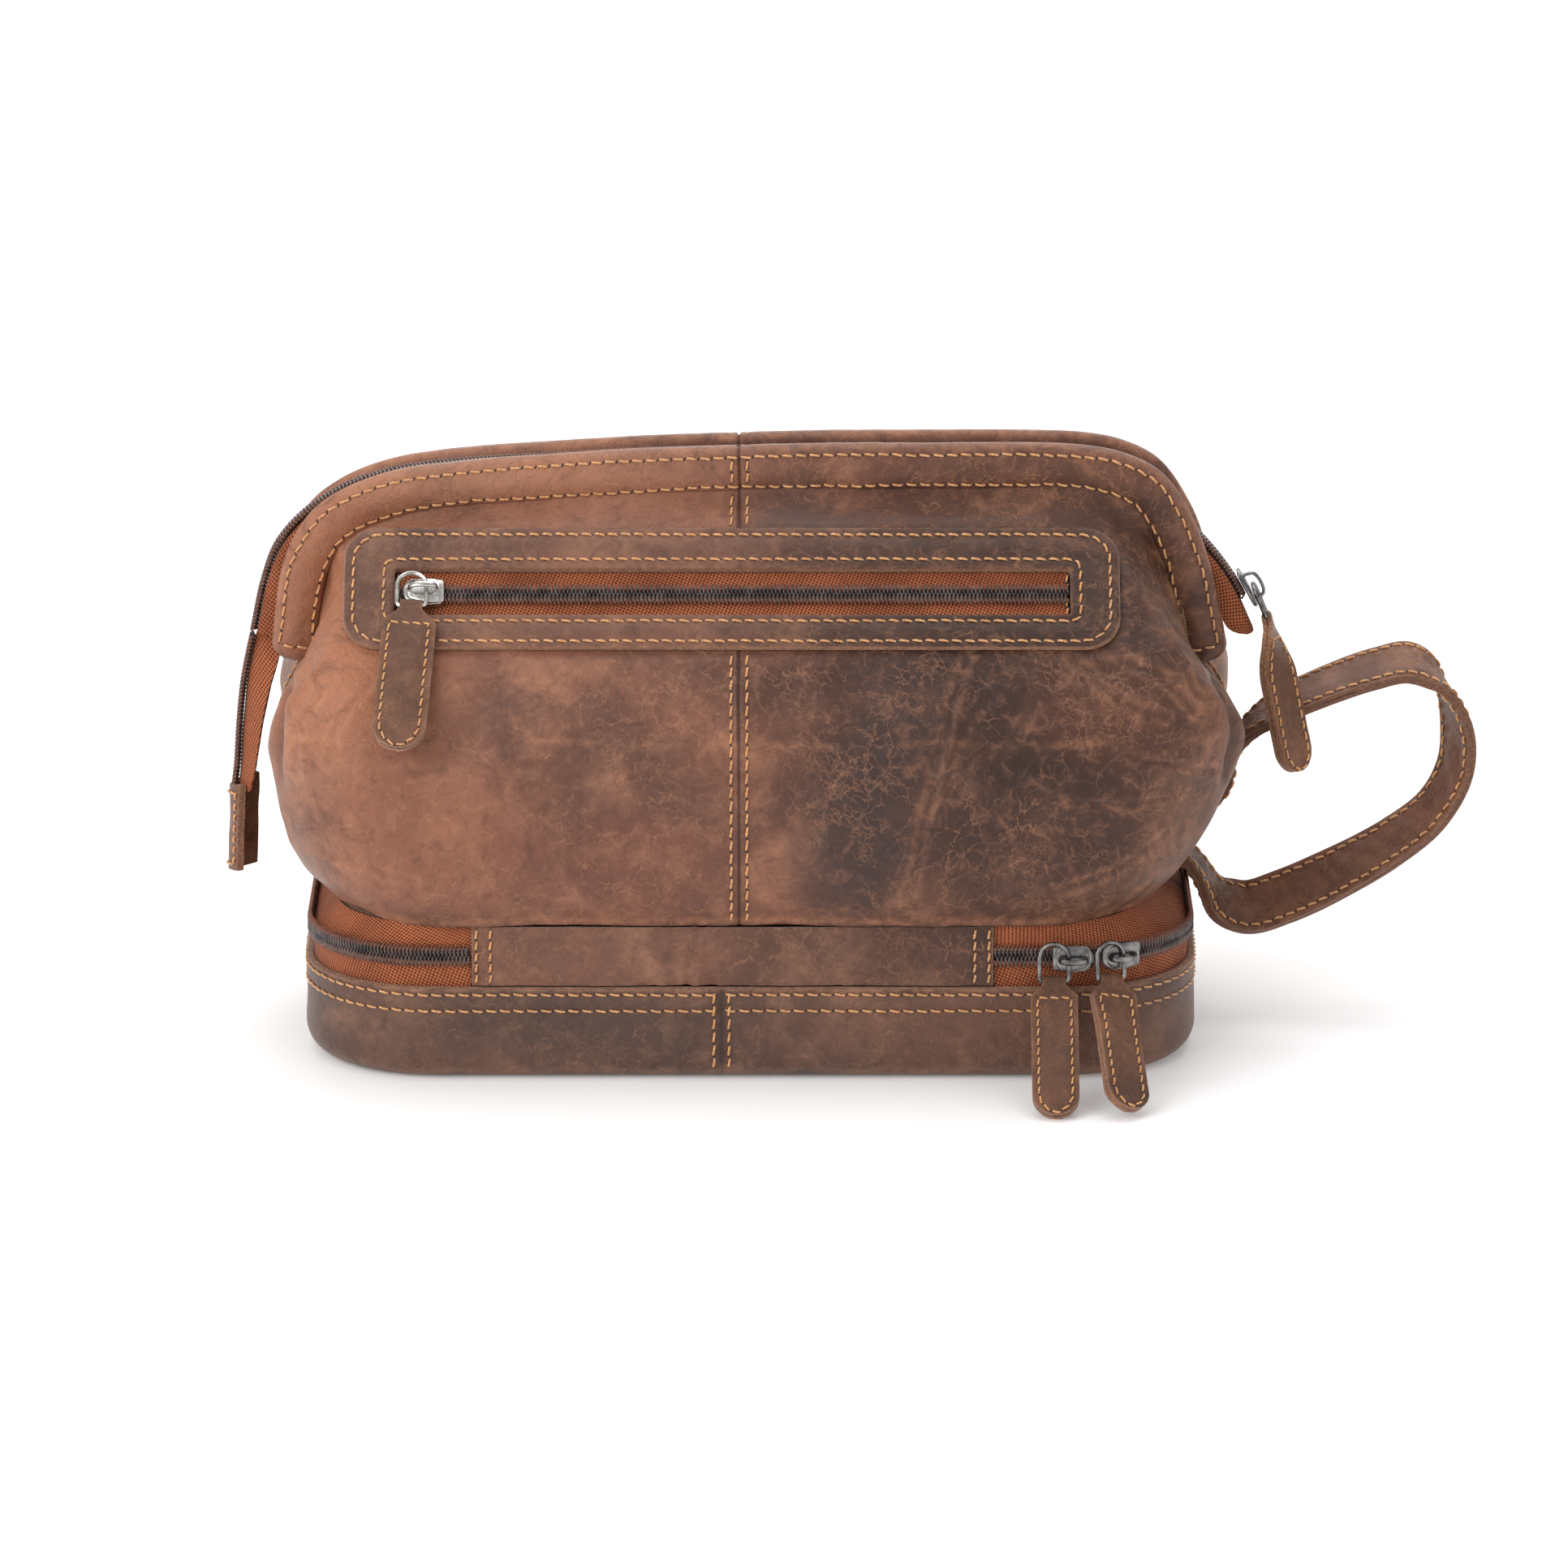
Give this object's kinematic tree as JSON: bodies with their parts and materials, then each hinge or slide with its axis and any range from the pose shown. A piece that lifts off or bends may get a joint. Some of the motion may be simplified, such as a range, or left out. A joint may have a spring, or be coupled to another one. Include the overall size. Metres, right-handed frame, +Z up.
{
  "type": "wash bag",
  "caption": "Framed leather wash bag with an arched zip mouth, a zipped front pocket, a zip-around base compartment and a wrist strap.",
  "frame": {"origin": "centre of the base compartment's flat underside", "axes": "+X along the bag towards the wrist strap, +Y to the back, +Z up"},
  "size_m": [0.398, 0.188, 0.1909],
  "materials": {
    "leather": "waxed pull-up leather",
    "dark_leather": "waxed pull-up leather, darker",
    "zip_tape": "woven tape",
    "zip_coil": "nylon coil",
    "lining": "woven lining",
    "board": "fibre board",
    "hardware": "gunmetal nickel",
    "steel": "spring steel"
  },
  "bodies": {
    "base": {"base_tray": "dark_leather", "base_board": "board", "base_lining": "lining", "hinge_band": "leather", "base_tape_lower": "zip_tape", "base_coil_lower": "zip_coil"},
    "upper": {"bag_floor": "dark_leather", "base_tape_upper": "zip_tape", "base_coil_upper": "zip_coil", "front_panel_left": "leather", "front_panel_right": "leather", "back_panel_left": "leather", "back_panel_right": "leather", "gusset_left": "dark_leather", "gusset_right": "dark_leather", "frame_rivet_left": "steel", "frame_rivet_right": "steel"},
    "front_frame": {"front_lip": "leather", "front_frame_rod": "steel", "mouth_tape_front": "zip_tape", "mouth_coil_front": "zip_coil", "pocket_welt": "leather", "pocket_tape_upper": "zip_tape", "pocket_tape_lower": "zip_tape", "pocket_coil_upper": "zip_coil", "pocket_coil_lower": "zip_coil", "pocket_bag": "lining"},
    "back_frame": {"back_lip": "leather", "back_frame_rod": "steel", "mouth_tape_back": "zip_tape", "mouth_coil_back": "zip_coil"},
    "zip_tail": {"tail_tape": "zip_tape", "tail_coil": "zip_coil", "tail_tab": "leather"},
    "strap": {"wrist_strap": "leather"},
    "mouth_slider": {"mouth_slider": "hardware"},
    "mouth_ring": {"mouth_ring": "hardware"},
    "mouth_pull": {"mouth_pull": "leather"},
    "pocket_slider": {"pocket_slider": "hardware"},
    "pocket_ring": {"pocket_ring": "hardware"},
    "pocket_pull": {"pocket_pull": "leather"},
    "base_left_slider": {"base_left_slider": "hardware"},
    "base_left_ring": {"base_left_ring": "hardware"},
    "base_left_pull": {"base_left_pull": "leather"},
    "base_right_slider": {"base_right_slider": "hardware"},
    "base_right_ring": {"base_right_ring": "hardware"},
    "base_right_pull": {"base_right_pull": "leather"}
  },
  "joints": [
    {"name": "base_opening", "type": "hinge", "parent": "base", "child": "upper", "pos_m": [0, -0.068, 0.05], "axis": [1, 0, 0], "range_deg": [0, 70]},
    {"name": "front_frame_opening", "type": "hinge", "parent": "upper", "child": "front_frame", "pos_m": [0, 0, 0.125], "axis": [1, 0, 0], "range_deg": [0, 30], "deforming": ["front_panel_left", "front_panel_right"]},
    {"name": "back_frame_opening", "type": "hinge", "parent": "upper", "child": "back_frame", "pos_m": [0, 0, 0.125], "axis": [-1, 0, 0], "range_deg": [0, 30], "deforming": ["back_panel_left", "back_panel_right"]},
    {"name": "zip_tail_swing", "type": "hinge", "parent": "upper", "child": "zip_tail", "pos_m": [-0.1585, 0, 0.1255], "axis": [0, 1, 0], "range_deg": [0, 60]},
    {"name": "strap_swing", "type": "hinge", "parent": "upper", "child": "strap", "pos_m": [0.1503, 0.012, 0.076], "axis": [0.5241, 0, 0.8516], "range_deg": [-8, 24]},
    {"name": "mouth_slider_travel", "type": "hinge", "parent": "upper", "child": "mouth_slider", "pos_m": [0.08, 0, 0.1], "axis": [0, -1, 0], "range_deg": [0, 19]},
    {"name": "pocket_slider_travel", "type": "slide", "parent": "front_frame", "child": "pocket_slider", "axis": [1, 0, 0], "range_m": [0, 0.192]},
    {"name": "base_left_slider_travel", "type": "slide", "parent": "base", "child": "base_left_slider", "axis": [-1, 0, 0], "range_m": [0, 0.017]},
    {"name": "base_right_slider_travel", "type": "hinge", "parent": "base", "child": "base_right_slider", "pos_m": [0.098, -0.028, 0.0405], "axis": [0, 0, 1], "range_deg": [0, 60]},
    {"name": "mouth_ring_swing", "type": "hinge", "parent": "mouth_slider", "child": "mouth_ring", "pos_m": [0.15848, 0, 0.14261], "axis": [0, -1, 0], "range_deg": [0, 100]},
    {"name": "mouth_pull_swing", "type": "hinge", "parent": "mouth_ring", "child": "mouth_pull", "pos_m": [0.16275, -0.00228, 0.13273], "axis": [-0.0992, -0.9781, 0.1827], "range_deg": [-10, 60]},
    {"name": "pocket_ring_swing", "type": "hinge", "parent": "pocket_slider", "child": "pocket_ring", "pos_m": [-0.1066, -0.04528, 0.15372], "axis": [-1, 0, 0], "range_deg": [0, 8]},
    {"name": "pocket_pull_swing", "type": "hinge", "parent": "pocket_ring", "child": "pocket_pull", "pos_m": [-0.1066, -0.05003, 0.14885], "axis": [-1, 0, 0], "range_deg": [0, 20]},
    {"name": "base_left_ring_swing", "type": "hinge", "parent": "base_left_slider", "child": "base_left_ring", "pos_m": [0.094, -0.0728, 0.0405], "axis": [-1, 0, 0], "range_deg": [-8, 8]},
    {"name": "base_left_pull_swing", "type": "hinge", "parent": "base_left_ring", "child": "base_left_pull", "pos_m": [0.094, -0.07351, 0.03374], "axis": [-1, 0, 0], "range_deg": [0, 40]},
    {"name": "base_right_ring_swing", "type": "hinge", "parent": "base_right_slider", "child": "base_right_ring", "pos_m": [0.11165, -0.07092, 0.0405], "axis": [-0.9171, -0.3987, 0], "range_deg": [-8, 8]},
    {"name": "base_right_pull_swing", "type": "hinge", "parent": "base_right_ring", "child": "base_right_pull", "pos_m": [0.11193, -0.07157, 0.03374], "axis": [-0.9171, -0.3987, 0], "range_deg": [0, 40]}
  ]
}
